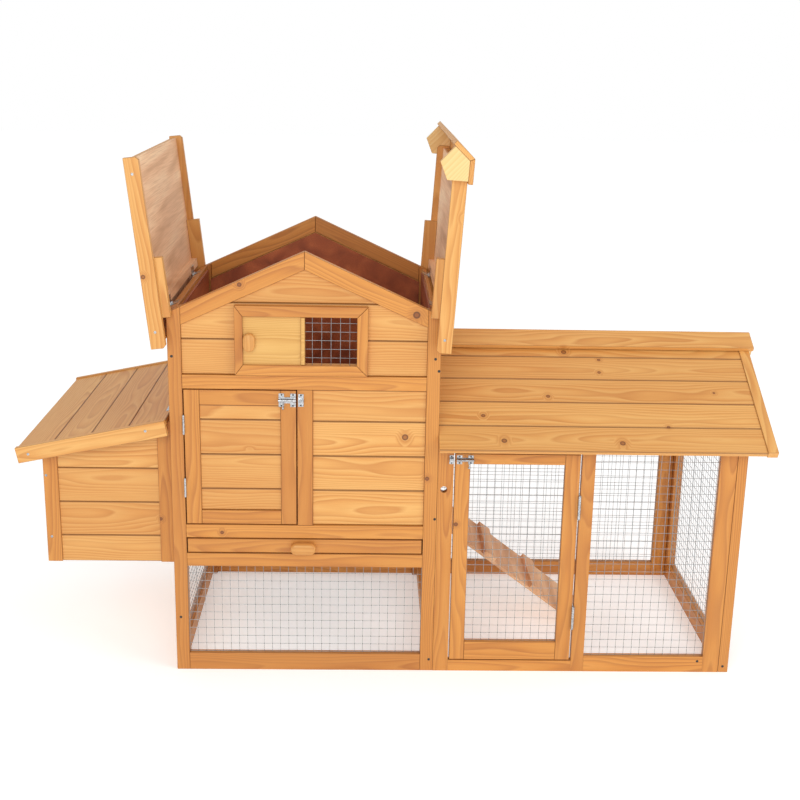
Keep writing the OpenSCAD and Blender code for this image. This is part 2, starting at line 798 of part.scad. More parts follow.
// the board is cut plumb against the house and level on the ground
module ramp_board() color(tan_ply) placed() {
    top_z = ramp_top_z + (run_x - ramp_x) * tan(ramp_pitch);
    edge_z = top_z - ramp_t / cos(ramp_pitch);
    upright(ramp_y, ramp_y + ramp_w, [
        [ramp_x, top_z], [ramp_x, edge_z], [ramp_x + edge_z / tan(ramp_pitch), 0],
        [ramp_x + top_z / tan(ramp_pitch), 0]
    ]);
}

module ramp_cleats() color(tan_ply) placed() ramp_pose()
    for (k = [0 : 2]) translate([cleat_start + k * cleat_pitch, 0, cleat_gap])
        cube([cleat_w, ramp_w, cleat]);

// ---- house door ----

module framed_door(w, h, t, side, bottom, top) {
    for (x = [0, w - side]) span([x, 0, 0], [x + side, t, h]);
    span([side + hair, 0, 0], [w - side - hair, t, bottom]);
    span([side + hair, 0, h - top], [w - side - hair, t, h]);
}

module house_door_frame() color(fir) placed() translate([door_x, 0, door_z])
    framed_door(door_w, door_h, door_t, door_stile, door_stile - 2, door_stile);

module house_door_boards() color(fir) placed()
    translate([door_x + door_stile, 4, door_z + door_stile - 2])
        board_wall(door_w - 2 * door_stile, door_h - 2 * door_stile + 2, 60, board_cover, board_t);

hinge_z = [door_z + 76, door_z + door_h - 68 - hinge_l];
hinge_leaf_w = 20;

// the house door's pins stand in front of the gap beside the left post
module at_door_hinges() for (z = hinge_z)
    translate([door_x - door_gap / 2, -knuckle_r - 0.2, z]) children();

module house_door_hinge_leaves() color(zinc) placed() at_door_hinges()
    hinge_leaf(hinge_l, knuckle_r, hinge_leaf_w, door_gap, false);

// ---- bolts ----

plate_thick = 1.2;
bolt_axis_y = -plate_thick - bolt_r - 1.5;
bolt_l = 44;

// the plate of a barrel bolt, 2 * half high, with a bearing at each end, sliding along +X
module bolt_plate(half) difference() {
    union() {
        span([0, -plate_thick, -half * 0.45], [bolt_l, 0, half * 0.45]);
        for (x = [0, bolt_l - 14]) span([x, -plate_thick, -half], [x + 14, 0, half]);
        for (x = [0, bolt_l - 6]) translate([x, bolt_axis_y, 0]) {
            rotate([0, 90, 0]) cylinder(r = bolt_r + 1.5, h = 6);
            span([0, 0, -bolt_r - 1.5], [6, -bolt_axis_y, bolt_r + 1.5]);
        }
    }
    translate([-1, bolt_axis_y, 0]) rotate([0, 90, 0]) cylinder(r = bolt_r + run_fit, h = bolt_l + 2);
}

module bolt_rod() {
    translate([-1, bolt_axis_y, 0]) rotate([0, 90, 0]) cylinder(r = bolt_r, h = bolt_l + 1.5);
    // the arm and its ball
    translate([11, bolt_axis_y, -20]) cylinder(r = 1.8, h = 20);
    translate([11, bolt_axis_y, -21]) sphere(r = 3.4);
}

// the keeper: a plate with a square bridge over the rod, its mouth towards -X
module bolt_keeper(w, half) difference() {
    inside = bolt_r + 0.4;
    outside = inside + 1.4;
    union() {
        span([0, -plate_thick, -half], [w, 0, half]);
        span([0, bolt_axis_y - outside, -outside], [w, -plate_thick, outside]);
    }
    span([-1, bolt_axis_y - inside, -inside], [w + 1, -plate_thick, inside]);
}

house_bolt_x = stile_x - door_gap - bolt_l - 1;
house_bolt_z = door_z + door_h - 25;
run_bolt_x = run_door_x + 4 + bolt_l;
run_bolt_z = run_door_top - 16;
keeper_clear = 2.5;

module at_house_bolt() placed() translate([house_bolt_x, 0, house_bolt_z]) children();
module at_run_bolt() placed() translate([run_bolt_x, 0, run_bolt_z]) mirror([1, 0, 0]) children();

module house_bolt_plate() color(zinc) at_house_bolt() bolt_plate(18);
module house_bolt_rod() color(zinc) at_house_bolt() bolt_rod();
module run_bolt_plate() color(zinc) at_run_bolt() bolt_plate(12);
module run_bolt_rod() color(zinc) at_run_bolt() bolt_rod();
module bolt_keepers() color(zinc) {
    placed() translate([stile_x + keeper_clear, 0, house_bolt_z]) bolt_keeper(14, 17);
    placed() translate([run_x + run_post - 1, 0, run_bolt_z]) mirror([1, 0, 0]) bolt_keeper(11, 12);
}

// ---- run door ----

module run_door_frame() color(fir) placed() translate([run_door_x, 0, run_door_z])
    framed_door(run_door_w, run_door_h, run_t, door_stile, run_bottom_rail, run_head_rail);

module run_door_mesh() color(zinc) placed()
    translate([run_door_x + door_stile, run_t / 2, run_door_z + run_bottom_rail])
        grille(run_door_w - 2 * door_stile, run_door_h - run_bottom_rail - run_head_rail, wire_pitch);

run_hinge_z = [run_door_z + 95, run_door_z + 415];

module at_run_hinges() for (z = run_hinge_z)
    translate([run_stile_x - run_gap / 2, -run_hinge_r - 0.2, z]) mirror([1, 0, 0]) children();

module run_door_hinge_leaves() color(zinc) placed() at_run_hinges()
    hinge_leaf(run_hinge_l, run_hinge_r, wide_leaf, run_gap, false);

// ---- roof panels ----

// a panel in its own closed frame: X up the slope from the pin, Z out of the slope
module on_left_slope() translate([left_pin_x, 0, left_pin_z]) rotate([0, -roof_pitch, 0]) children();
module on_right_slope()
    translate([house_w - right_pin_in, 0, right_pin_z]) mirror([1, 0, 0]) rotate([0, -roof_pitch, 0])
        children();

// swings what is drawn closed up to where it stands open
left_swing = 90 + left_lean - roof_pitch;
right_swing = 90 + right_lean - roof_pitch;
module left_open() translate([left_pin_x, 0, left_pin_z]) rotate([0, -left_swing, 0])
    translate([-left_pin_x, 0, -left_pin_z]) children();
module right_open() translate([house_w - right_pin_in, 0, right_pin_z]) rotate([0, right_swing, 0])
    translate([right_pin_in - house_w, 0, -right_pin_z]) children();

module panel_boards(up, down) {
    n = 5;
    w = (up - barge_past + down) / n;
    for (k = [0 : n - 1])
        translate([-down + (k + 1) * w, panel_y0, panel_top]) rotate([-90, 90, 0])
            linear_extrude(panel_d) polygon(board_outline(panel_board_t, w, k == n - 1, k == 0));
}
module panel_lining(up, down) {
    span([-down, panel_y0, ply_z], [up - barge_past, panel_y0 + panel_d, ply_z + ply_t]);
    // the strip that the hinges are screwed to
    span([knuckle_r + 2, 1, panel_under], [knuckle_r + 26, house_d - 1, ply_z - hair]);
}

module panel_frame(up, down) {
    // barge boards along the front and back edges, with their inner corners clipped
    clip = 7;
    for (y = [-overhang, house_d + overhang - barge_t])
        upright(y, y + barge_t, [
            [-down + clip, barge_z], [up - clip, barge_z], [up, barge_z + clip], [up, panel_top],
            [-down, panel_top], [-down, barge_z + clip]
        ]);
    // short battens inside the barge boards
    for (y = [panel_y0 + hair, panel_y0 + panel_d - batten_t - hair])
        span([-8, y, barge_z - batten_out], [batten_l, y + batten_t, ply_z]);
}

roof_hinge_y = [hinge_in, house_d - hinge_in - hinge_l];
// hinges of the panels: pin along Y, leaves up the slope, fixed leaf below
module at_roof_hinges() for (y = roof_hinge_y) translate([0, y, 0]) rotate([-90, -90, 0]) children();

module panel_hinge_leaves() at_roof_hinges()
    hinge_leaf(hinge_l, knuckle_r, wide_leaf, leaf_gap, false);

module roof_left_boards() color(fir) placed() left_open() on_left_slope()
    panel_boards(left_up, left_down);
module roof_left_lining() color(tan_ply) placed() left_open() on_left_slope()
    panel_lining(left_up, left_down);
module roof_left_frame() color(fir) placed() left_open() on_left_slope()
    panel_frame(left_up, left_down);
module roof_left_hinge_leaves() color(zinc) placed() left_open() on_left_slope()
    panel_hinge_leaves();
module roof_right_boards() color(fir) placed() right_open() on_right_slope()
    panel_boards(right_up, right_down);
module roof_right_lining() color(tan_ply) placed() right_open() on_right_slope()
    panel_lining(right_up, right_down);
module roof_right_frame() color(fir) placed() right_open() on_right_slope()
    panel_frame(right_up, right_down);
module roof_right_hinge_leaves() color(zinc) placed() right_open() on_right_slope()
    panel_hinge_leaves();

module house_ridge_cap() color(fir) placed() right_open() {
    y0 = -overhang - gap - block_t;
    l = house_d - 2 * y0;
    translate([ridge_x, house_d - y0, cap_z]) rotate([90, 0, 0]) {
        for (side = [0, 1]) mirror([side, 0, 0]) linear_extrude(l) cap_half(cap_w, roof_pitch);
        for (z = [0, l - block_t]) translate([0, -hair, z])
            linear_extrude(block_t) cap_block(block_side, block_drop, roof_pitch);
    }
}

// ---- fixed hardware ----

lid_hinge_y = [hinge_in, house_d - hinge_in - hinge_l];
lid_top_off = (knuckle_r - (lid_x1 - lid_pin_x) * -tan(lid_pitch)) * cos(lid_pitch);
// hinges of the nest lid: one leaf stands against the wall, the other lies on the lid
module at_lid_hinges(turn) for (y = lid_hinge_y)
    translate([lid_pin_x, y, lid_pin_z]) rotate([-90, 0, 0]) rotate([0, 0, turn]) children();

module nest_lid_hinge_leaves() color(zinc) placed() at_lid_hinges(90 - lid_pitch)
    hinge_leaf(hinge_l, knuckle_r, lid_leaf, 2 * lid_top_off, false);

module fixed_hinge_leaves() color(zinc) placed() {
    at_door_hinges() hinge_leaf(hinge_l, knuckle_r, hinge_leaf_w, door_gap, true);
    at_run_hinges() hinge_leaf(run_hinge_l, run_hinge_r, wide_leaf, run_gap, true);
    on_left_slope() at_roof_hinges() hinge_leaf(hinge_l, knuckle_r, wide_leaf, leaf_gap, true);
    on_right_slope() at_roof_hinges() hinge_leaf(hinge_l, knuckle_r, wide_leaf, leaf_gap, true);
    at_lid_hinges(180) hinge_leaf(hinge_l, knuckle_r, lid_leaf, -2 * lid_pin_x, true);
}

module hinge_pins() color(zinc) placed() {
    at_door_hinges() hinge_pin(hinge_l);
    at_run_hinges() hinge_pin(run_hinge_l);
    on_left_slope() at_roof_hinges() hinge_pin(hinge_l);
    on_right_slope() at_roof_hinges() hinge_pin(hinge_l);
    at_lid_hinges(0) hinge_pin(hinge_l);
}

module frame_screws() color(dark_steel) placed() {
    for (p = [
        [post * 0.3, eave_h - 113], [house_w - post * 0.4, eave_h - 112], [house_w - 4.2, eave_h - 144],
        [post * 0.4, 156], [house_w - post * 0.3, 34], [house_w - 5, 446],
        [bay_x1 - 15, 33], [end_x + 12, 18]
    ])
        translate([p[0], 0, p[1]]) screw_head(3.5);
}

// ---- nodes ----

house_posts();
house_cross_rails();
house_side_rails();
gable_rafters();
front_wall_boards();
back_wall_boards();
left_wall_boards();
right_wall_boards();
wall_lining();
roosting_perch();
window_frame();
window_mesh();
lower_mesh_panels();
nest_box_posts();
nest_box_boards();
nest_box_floor();
nest_box_divider();
run_front_frame();
run_end_frame();
run_back_frame();
run_front_mesh();
run_end_mesh();
run_back_mesh();
run_rafters();
run_roof_boards();
run_roof_end_strips();
run_ridge_cap();
ramp_board();
ramp_cleats();
fixed_hinge_leaves();
hinge_pins();
bolt_keepers();
frame_screws();
roof_left_boards();
roof_left_lining();
roof_left_frame();
roof_left_hinge_leaves();
roof_right_boards();
roof_right_lining();
roof_right_frame();
roof_right_hinge_leaves();
house_ridge_cap();
house_door_frame();
house_door_boards();
house_door_hinge_leaves();
house_bolt_plate();
house_bolt_rod();
window_shutter();
shutter_knob();
tray_front();
tray_pan();
tray_handle();
run_door_frame();
run_door_mesh();
run_door_hinge_leaves();
run_bolt_plate();
run_bolt_rod();
nest_lid_boards();
nest_lid_frame();
nest_lid_hinge_leaves();
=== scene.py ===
import json
import math

import bmesh
import bpy
import numpy as np
from mathutils import Matrix, Vector

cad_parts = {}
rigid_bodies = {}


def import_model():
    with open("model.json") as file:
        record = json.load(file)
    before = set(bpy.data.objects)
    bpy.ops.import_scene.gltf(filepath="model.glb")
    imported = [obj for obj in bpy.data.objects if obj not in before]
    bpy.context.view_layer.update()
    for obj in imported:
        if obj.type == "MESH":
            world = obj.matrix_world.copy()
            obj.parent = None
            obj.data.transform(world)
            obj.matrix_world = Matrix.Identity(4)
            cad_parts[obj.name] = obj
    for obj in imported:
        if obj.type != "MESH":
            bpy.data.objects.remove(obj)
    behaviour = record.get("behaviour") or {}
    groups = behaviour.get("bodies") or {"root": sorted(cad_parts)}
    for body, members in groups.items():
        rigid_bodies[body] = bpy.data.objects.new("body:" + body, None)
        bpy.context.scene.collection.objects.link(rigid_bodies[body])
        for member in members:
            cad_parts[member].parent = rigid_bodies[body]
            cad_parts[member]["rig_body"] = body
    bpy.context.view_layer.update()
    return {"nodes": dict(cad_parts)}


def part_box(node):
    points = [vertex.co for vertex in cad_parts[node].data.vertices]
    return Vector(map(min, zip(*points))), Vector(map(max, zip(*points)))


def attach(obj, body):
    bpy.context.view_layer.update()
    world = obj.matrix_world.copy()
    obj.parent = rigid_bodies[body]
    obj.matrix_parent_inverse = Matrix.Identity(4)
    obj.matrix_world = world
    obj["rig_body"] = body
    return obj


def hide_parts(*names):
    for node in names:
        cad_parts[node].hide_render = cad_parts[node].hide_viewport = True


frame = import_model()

MM = 0.001
rng = np.random.default_rng(7)

# ---- sizes -------------------------------------------------------------------

WIRE_PITCH = 22.5 * MM       # welded mesh: wire spacing
WIRE_R = 0.65 * MM
SHORTEST_WIRE = 2 * MM       # a gable panel has no wire shorter than this
ARRIS = 0.8 * MM             # how far the timber's sharp corners are eased
GROOVE_SHADE_WIDTH = 3.5 * MM            # faces narrower than this are darkened: painted shade in the grooves, seams and eased corners
BLOCK = 80 * MM              # timbers shorter than this are end blocks
RING = 5 * MM                # spacing of the growth rings
SCREW_R = 3.6 * MM           # wood screws in the frame
PLATE_SCREW_R = 2.2 * MM     # and the smaller ones in the bolts
PLATE_T = 1.2 * MM           # pressed steel of the bolts
PLATE_SCREW_IN = 7 * MM      # from the end of a bolt plate to its screws
PLATE_SCREW_EDGE = 3.4 * MM  # and from its upper and lower edges
RUN_PITCH = math.radians(29.6)
ROOF_BOARD = 12              # thickness of the run's roof boards in millimetres

# where the coop's own measures start: the left front corner of the house, on the ground
CORNER = np.array(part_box("house_posts")[0])


def at(x, y, z):
    """A place in metres, from millimetres right of, behind and above the house's left front corner."""
    return CORNER + np.array([x, y, z]) * MM


def on_run_roof(along, up):
    """A place on the front slope of the run roof, in millimetres from its lower left corner."""
    low = np.array(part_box("run_roof_boards")[0])
    rise = ROOF_BOARD * math.cos(RUN_PITCH) + up * math.sin(RUN_PITCH)
    return low + np.array([along, up * math.cos(RUN_PITCH), rise]) * MM


# knots that are large enough to notice: their place and their radius in millimetres
KNOTS = [(on_run_roof(along, up), r) for along, up, r in (
    (170, 35, 8), (480, 30, 8), (360, 375, 8), (450, 295, 5), (455, 345, 5),
    (300, 200, 6), (120, 125, 6), (610, 90, 5), (755, 220, 4))]
KNOTS += [(at(x, y, z), r) for x, y, z, r in (
    (612, 6, 672, 9), (635, 0, 1000, 10), (186, 0, 1072, 6), (130, 0, 403, 5), (672, 0, 560, 6),
    (752, 0, 432, 6), (-48, -35, 1094, 6), (-35, 25, 430, 5))]


# ---- mesh helpers ------------------------------------------------------------

def body_of(node):
    """The name of the body that a CAD node rides on."""
    return frame["nodes"][node]["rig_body"]


def new_piece(name, points, faces, body, slot, finish, smooth=False):
    """A mesh object from an array of points and a list of faces, riding on a body. The slot, what
    the record calls its material, is not used."""
    mesh = bpy.data.meshes.new(name)
    mesh.from_pydata(points.tolist(), [], faces)
    mesh.validate()
    mesh.polygons.foreach_set("use_smooth", np.full(len(mesh.polygons), smooth))
    piece = bpy.data.objects.new(name, mesh)
    piece.data.materials.append(finish)
    bpy.context.scene.collection.objects.link(piece)
    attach(piece, body)
    return piece


def loose_parts(count, edges):
    """Labels each vertex with the smallest index reachable from it along the edges."""
    label = np.arange(count)
    while True:
        low = np.minimum(label[edges[:, 0]], label[edges[:, 1]])
        nxt = label.copy()
        np.minimum.at(nxt, edges[:, 0], low)
        np.minimum.at(nxt, edges[:, 1], low)
        nxt = nxt[nxt]
        if np.array_equal(nxt, label):
            return label
        label = nxt


def read(values, item, size, kind=float):
    """One property of every item of a mesh, as an array with that many columns."""
    out = np.empty(len(values) * size, dtype=kind)
    values.foreach_get(item, out)
    return out.reshape(-1, size) if size > 1 else out


def merged(node):
    """A bmesh copy of a CAD node with its loose triangles joined into flat faces."""
    bm = bmesh.new()
    bm.from_mesh(frame["nodes"][node].data)
    bmesh.ops.remove_doubles(bm, verts=bm.verts, dist=1e-6)
    bmesh.ops.dissolve_limit(bm, angle_limit=math.radians(0.5), verts=bm.verts, edges=bm.edges)
    return bm


def part_boxes(node):
    """(low, high) corners of each loose part of a CAD node."""
    bm = merged(node)
    mesh = bpy.data.meshes.new("scratch")
    bm.to_mesh(mesh)
    bm.free()
    co = read(mesh.vertices, "co", 3)
    label = loose_parts(len(co), read(mesh.edges, "vertices", 2, np.int32))
    bpy.data.meshes.remove(mesh)
    parts = [co[label == k] for k in np.unique(label)]
    return [(p.min(0), p.max(0)) for p in parts]


def write_grooves(bm):
    """Marks the narrow faces of a timber, twice the area over the girth, which are darkened as painted
    shade in its grooves, seams and eased corners.
    """
    layer = bm.faces.layers.float.new("groove")
    for face in bm.faces:
        face[layer] = float(2 * face.calc_area() < GROOVE_SHADE_WIDTH * face.calc_perimeter())


def write_grain(mesh):
    """Gives each timber its own grain coordinates in metres: x runs along its longest edge, z through
    its largest face and y across. Each is moved to its own place in the log, and has its own tone."""
    co = read(mesh.vertices, "co", 3)
    ends = read(mesh.edges, "vertices", 2, np.int32)
    label = loose_parts(len(co), ends)
    runs = co[ends[:, 1]] - co[ends[:, 0]]
    length = np.linalg.norm(runs, axis=1)
    normal = read(mesh.polygons, "normal", 3)
    area = read(mesh.polygons, "area", 1)
    first = read(mesh.loops, "vertex_index", 1, np.int32)[read(mesh.polygons, "loop_start", 1, np.int32)]
    grain = np.zeros_like(co)
    tone = np.zeros(len(co))
    size = np.zeros(len(co))
    for part in np.unique(label):
        edge = np.flatnonzero(label[ends[:, 0]] == part)
        face = np.flatnonzero(label[first] == part)
        along = runs[edge[np.argmax(length[edge])]]
        along = along / np.linalg.norm(along)
        through = normal[face[np.argmax(area[face])]]
        through = through - along * (through @ along)
        through = through / np.linalg.norm(through)
        axes = np.stack([along, np.cross(through, along), through])
        mine = label == part
        place = np.array([rng.uniform(0, 9), rng.uniform(-0.03, 0.03), rng.uniform(0.02, 0.075)])
        grain[mine] = (co[mine] - co[mine].mean(0)) @ axes.T + place
        tone[mine] = rng.uniform()
        size[mine] = length[edge].max()
    mesh.attributes.new("grain", "FLOAT_VECTOR", "POINT").data.foreach_set("vector", grain.ravel())
    mesh.attributes.new("tone", "FLOAT", "POINT").data.foreach_set("value", tone)
    return size[first]


def timber(node, finish, smooth=False, block_finish=None):
    """The node's boards with eased corners and grain that follows each of them. Blocks shorter than
    BLOCK may take a finish of their own."""
    bm = merged(node)
    if not smooth:
        sharp = [e for e in bm.edges if len(e.link_faces) == 2 and e.calc_face_angle() > math.radians(25)]
        bmesh.ops.bevel(bm, geom=sharp, offset=ARRIS, segments=1, affect="EDGES", clamp_overlap=True)
        bmesh.ops.dissolve_degenerate(bm, dist=1e-6, edges=bm.edges)
        write_grooves(bm)
    mesh = bpy.data.meshes.new(node + "_timber")
    bm.to_mesh(mesh)
    bm.free()
    mesh.polygons.foreach_set("use_smooth", np.full(len(mesh.polygons), smooth))
    size = write_grain(mesh)
    piece = bpy.data.objects.new(node + "_timber", mesh)
    bpy.context.scene.collection.objects.link(piece)
    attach(piece, body_of(node))
    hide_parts(node)
    mesh.materials.append(finish)
    if block_finish:
        mesh.materials.append(block_finish)
        mesh.polygons.foreach_set("material_index", (size < BLOCK).astype(np.int32))
    return piece


def rods(starts, ends, radius, sides=6):
    """Straight round rods, each a ring of points at both ends around its own line, closed at the ends."""
    starts, ends = np.asarray(starts, float), np.asarray(ends, float)
    way = ends - starts
    way = way / np.linalg.norm(way, axis=1, keepdims=True)
    helper = np.where(np.abs(way[:, 2:3]) > 0.9, [[1.0, 0, 0]], [[0, 0, 1.0]])
    u = np.cross(helper, way)
    u = u / np.linalg.norm(u, axis=1, keepdims=True)
    v = np.cross(way, u)
    turn = np.arange(sides) * 2 * math.pi / sides
    ring = radius * (u[:, None] * np.cos(turn)[:, None] + v[:, None] * np.sin(turn)[:, None])
    points = np.concatenate([starts[:, None] + ring, ends[:, None] + ring], axis=1).reshape(-1, 3)
    k = np.arange(sides)
    side = np.stack([k, (k + 1) % sides, (k + 1) % sides + sides, k + sides], axis=1)
    base = (np.arange(len(starts)) * 2 * sides)[:, None]
    walls = (side[None] + base[:, :, None]).reshape(-1, 4).tolist()
    caps = np.concatenate([k[::-1] + base, k + sides + base]).tolist()
    return points, walls + caps


def turned(profile, sides=20):
    """A lathe shape: the profile's (radius, height) points carried round +Z, closed at both ends."""
    profile = np.asarray(profile, float)
    turn = np.arange(sides) * 2 * math.pi / sides
    rim = np.stack([np.cos(turn), np.sin(turn)], axis=1)
    flat = profile[:, None, :1] * rim[None]
    points = np.concatenate([flat, np.repeat(profile[:, None, 1:], sides, axis=1)], axis=2).reshape(-1, 3)
    i, j = np.meshgrid(np.arange(len(profile) - 1), np.arange(sides), indexing="ij")
    a, b = i * sides + j, i * sides + (j + 1) % sides
    faces = np.stack([a, b, b + sides, a + sides], axis=-1).reshape(-1, 4).tolist()
    last = (len(profile) - 1) * sides
    return points, faces + [list(range(sides))[::-1], list(range(last, last + sides))]


def aim(points, place, axis):
    """Turns points drawn about +Z to stand along an axis, and moves them to their place."""
    turn = np.array(Vector((0, 0, 1)).rotation_difference(Vector(axis)).to_matrix())
    return points @ turn.T + np.asarray(place, float)


def gather(shapes):
    """Joins (points, faces) shapes into one."""
    points, faces, base = [], [], 0
    for p, f in shapes:
        points.append(p)
        faces += [[k + base for k in face] for face in f]
        base += len(p)
    return np.concatenate(points), faces


# ---- materials ---------------------------------------------------------------

def colour(hex_code):
    """A linear RGBA colour from an sRGB hex code."""
    srgb = np.array([int(hex_code[i:i + 2], 16) for i in (1, 3, 5)]) / 255
    linear = np.where(srgb <= 0.04045, srgb / 12.92, ((srgb + 0.055) / 1.055) ** 2.4)
    return (*linear, 1.0)


def add(tree, kind, inputs=(), **settings):
    """Adds a node with its settings; inputs pairs a socket with a value or with a socket to link."""
    node = tree.nodes.new(kind)
    for name, value in settings.items():
        setattr(node, name, value)
    for socket, value in dict(inputs).items():
        if isinstance(value, bpy.types.NodeSocket):
            tree.links.new(value, node.inputs[socket])
        else:
            node.inputs[socket].default_value = value
    return node


def ramp(tree, factor, stops):
    """Adds a colour ramp through (place, hex code) stops."""
    node = add(tree, "ShaderNodeValToRGB", {0: factor})
    elements = node.color_ramp.elements
    while len(elements) < len(stops):
        elements.new(0.5)
    for element, (place, code) in zip(elements, stops):
        element.position = place
        element.color = colour(code)
    return node.outputs[0]


def maths(tree, operation, a, b=0.0):
    """Adds one sum of two numbers."""
    return add(tree, "ShaderNodeMath", {0: a, 1: b}, operation=operation).outputs[0]


def blended(tree, factor, a, b):
    """Adds a mix of two colours."""
    return add(tree, "ShaderNodeMix", {0: factor, 6: a, 7: b}, data_type="RGBA").outputs[2]


def material(name):
    """A new material, its node tree and its shader."""
    made = bpy.data.materials.new(name)
    made.use_nodes = True
    return made, made.node_tree, made.node_tree.nodes["Principled BSDF"]


def step(tree, value, start, end):
    """Adds a smooth step from 0 at the start to 1 at the end."""
    return add(tree, "ShaderNodeMapRange", {"Value": value, 1: start, 2: end},
               interpolation_type="SMOOTHSTEP").outputs[0]


def softwood(name, pale, body, late, knot, roughness, coat):
    """Planed softwood. Growth rings are circles about a pith line that runs along the grain, bent by a
    slow wobble, so faces show long flames and cut ends show arcs."""
    made, tree, shader = material(name)
    grain = add(tree, "ShaderNodeAttribute", attribute_name="grain").outputs["Vector"]
    tone = add(tree, "ShaderNodeAttribute", attribute_name="tone").outputs["Fac"]

    # small knots: one in ten cells of about 150 by 75 mm
    cell = add(tree, "ShaderNodeMapping", {0: grain, 3: (6.6, 13.0, 8.0)})
    knots = add(tree, "ShaderNodeTexVoronoi", {"Vector": cell.outputs[0], "Scale": 1.0})
    chosen = add(tree, "ShaderNodeSeparateColor", {0: knots.outputs["Color"]}).outputs[0]
    chosen = maths(tree, "LESS_THAN", chosen, 0.90)
    reach = maths(tree, "ADD", maths(tree, "DIVIDE", knots.outputs["Distance"], 0.06), maths(
        tree, "MULTIPLY", chosen, 99.0))
    # and the large ones, each at its own place
    place = add(tree, "ShaderNodeTexCoord").outputs["Object"]
    for spot, size in KNOTS:
        away = add(tree, "ShaderNodeVectorMath", {0: place, 1: tuple(spot)}, operation="DISTANCE")
        reach = maths(tree, "MINIMUM", reach, maths(tree, "DIVIDE", away.outputs["Value"], size * MM))
    near = step(tree, reach, 3.2, 0.9)
    core = step(tree, reach, 1.05, 0.8)
    heart = step(tree, reach, 0.75, 0.35)

    # rings, pushed aside around the knots
    slow = add(tree, "ShaderNodeMapping", {0: grain, 3: (1.6, 9.0, 9.0)})
    wobble = add(tree, "ShaderNodeTexNoise", {"Vector": slow.outputs[0], "Scale": 1.0, "Detail": 2.0})
    axes = add(tree, "ShaderNodeSeparateXYZ", {0: grain})
    flat = add(tree, "ShaderNodeCombineXYZ", {1: axes.outputs[1], 2: axes.outputs[2]})
    radius = add(tree, "ShaderNodeVectorMath", {0: flat.outputs[0]}, operation="LENGTH").outputs["Value"]
    radius = maths(tree, "ADD", radius, maths(tree, "MULTIPLY", wobble.outputs[0], 0.050))
    radius = maths(tree, "ADD", radius, maths(tree, "MULTIPLY", near, 0.009))
    ring = maths(tree, "FRACT", maths(tree, "DIVIDE", radius, RING))
    rings = ramp(tree, ring, [(0.0, pale), (0.45, body), (0.86, late), (1.0, pale)])

    # fibres, 1.5 mm wide and about 60 mm long
    fine = add(tree, "ShaderNodeMapping", {0: grain, 3: (16.0, 650.0, 650.0)})
    fibre = add(tree, "ShaderNodeTexNoise",
             {"Vector": fine.outputs[0], "Scale": 1.0, "Detail": 3.0}).outputs[0]
    broad = add(tree, "ShaderNodeMapping", {0: grain, 3: (2.2, 26.0, 26.0)})
    patch = add(tree, "ShaderNodeTexNoise",
             {"Vector": broad.outputs[0], "Scale": 1.0, "Detail": 2.0}).outputs[0]

    base = blended(tree, 0.55, colour(body), rings)
    streak = add(tree, "ShaderNodeMapRange", {"Value": fibre, 1: 0.35, 2: 0.75, 3: 0.0, 4: 0.30}).outputs[0]
    base = blended(tree, streak, base, colour(late))
    drift = add(tree, "ShaderNodeMapRange", {"Value": patch, 1: 0.35, 2: 0.7, 3: 0.0, 4: 0.35}).outputs[0]
    base = blended(tree, drift, base, colour(pale))
    board = add(tree, "ShaderNodeMapRange", {"Value": tone, 3: 0.0, 4: 0.42}).outputs[0]
    base = blended(tree, board, base, colour(late))
    base = blended(tree, maths(tree, "MULTIPLY", near, 0.4), base, colour(late))
    base = blended(tree, maths(tree, "MULTIPLY", core, 0.9), base, colour(knot))
    base = blended(tree, maths(tree, "MULTIPLY", heart, 0.6), base, colour(late))
    # painted shade: the narrow faces of grooves, seams and eased corners are darkened towards the knot
    # colour
    groove = add(tree, "ShaderNodeAttribute", attribute_name="groove").outputs["Fac"]
    base = blended(tree, maths(tree, "MULTIPLY", groove, 0.55), base, colour(knot))
    tree.links.new(base, shader.inputs["Base Color"])

    rough = add(tree, "ShaderNodeMapRange", {"Value": fibre, 3: roughness - 0.07, 4: roughness + 0.1})
    tree.links.new(rough.outputs[0], shader.inputs["Roughness"])
    height = maths(tree, "ADD", maths(tree, "MULTIPLY", fibre, 0.6), maths(tree, "MULTIPLY", ring, 0.4))
    bump = add(tree, "ShaderNodeBump", {"Height": height, "Strength": 0.25, "Distance": 0.3 * MM})
    tree.links.new(bump.outputs[0], shader.inputs["Normal"])
    shader.inputs["IOR"].default_value = 1.5
    shader.inputs["Coat Weight"].default_value = coat
    shader.inputs["Coat Roughness"].default_value = 0.35
    return made


def peeled_ply(name, pale, body, dark, roughness):
    """Rotary-cut plywood. Fine streaks, 2.4 mm wide and some 140 mm long, run from front to back between
    slow bands of lighter and darker veneer."""
    made, tree, shader = material(name)
    place = add(tree, "ShaderNodeTexCoord").outputs["Object"]
    slow = add(tree, "ShaderNodeMapping", {0: place, 3: (14.0, 1.6, 14.0)})
    band = add(tree, "ShaderNodeTexNoise", {"Vector": slow.outputs[0], "Scale": 1.0, "Detail": 3.0,
                                            "Distortion": 0.6}).outputs[0]
    fine = add(tree, "ShaderNodeMapping", {0: place, 3: (420.0, 7.0, 420.0)})
    streak = add(tree, "ShaderNodeTexNoise",
                 {"Vector": fine.outputs[0], "Scale": 1.0, "Detail": 3.0}).outputs[0]
    base = ramp(tree, band, [(0.3, pale), (0.5, body), (0.72, dark)])
    line = add(tree, "ShaderNodeMapRange", {"Value": streak, 1: 0.42, 2: 0.7, 3: 0.0, 4: 0.5}).outputs[0]
    base = blended(tree, line, base, colour(dark))
    tree.links.new(base, shader.inputs["Base Color"])
    bump = add(tree, "ShaderNodeBump", {"Height": streak, "Strength": 0.25, "Distance": 0.3 * MM})
    tree.links.new(bump.outputs[0], shader.inputs["Normal"])
    shader.inputs["Roughness"].default_value = roughness
    shader.inputs["IOR"].default_value = 1.5
    return made


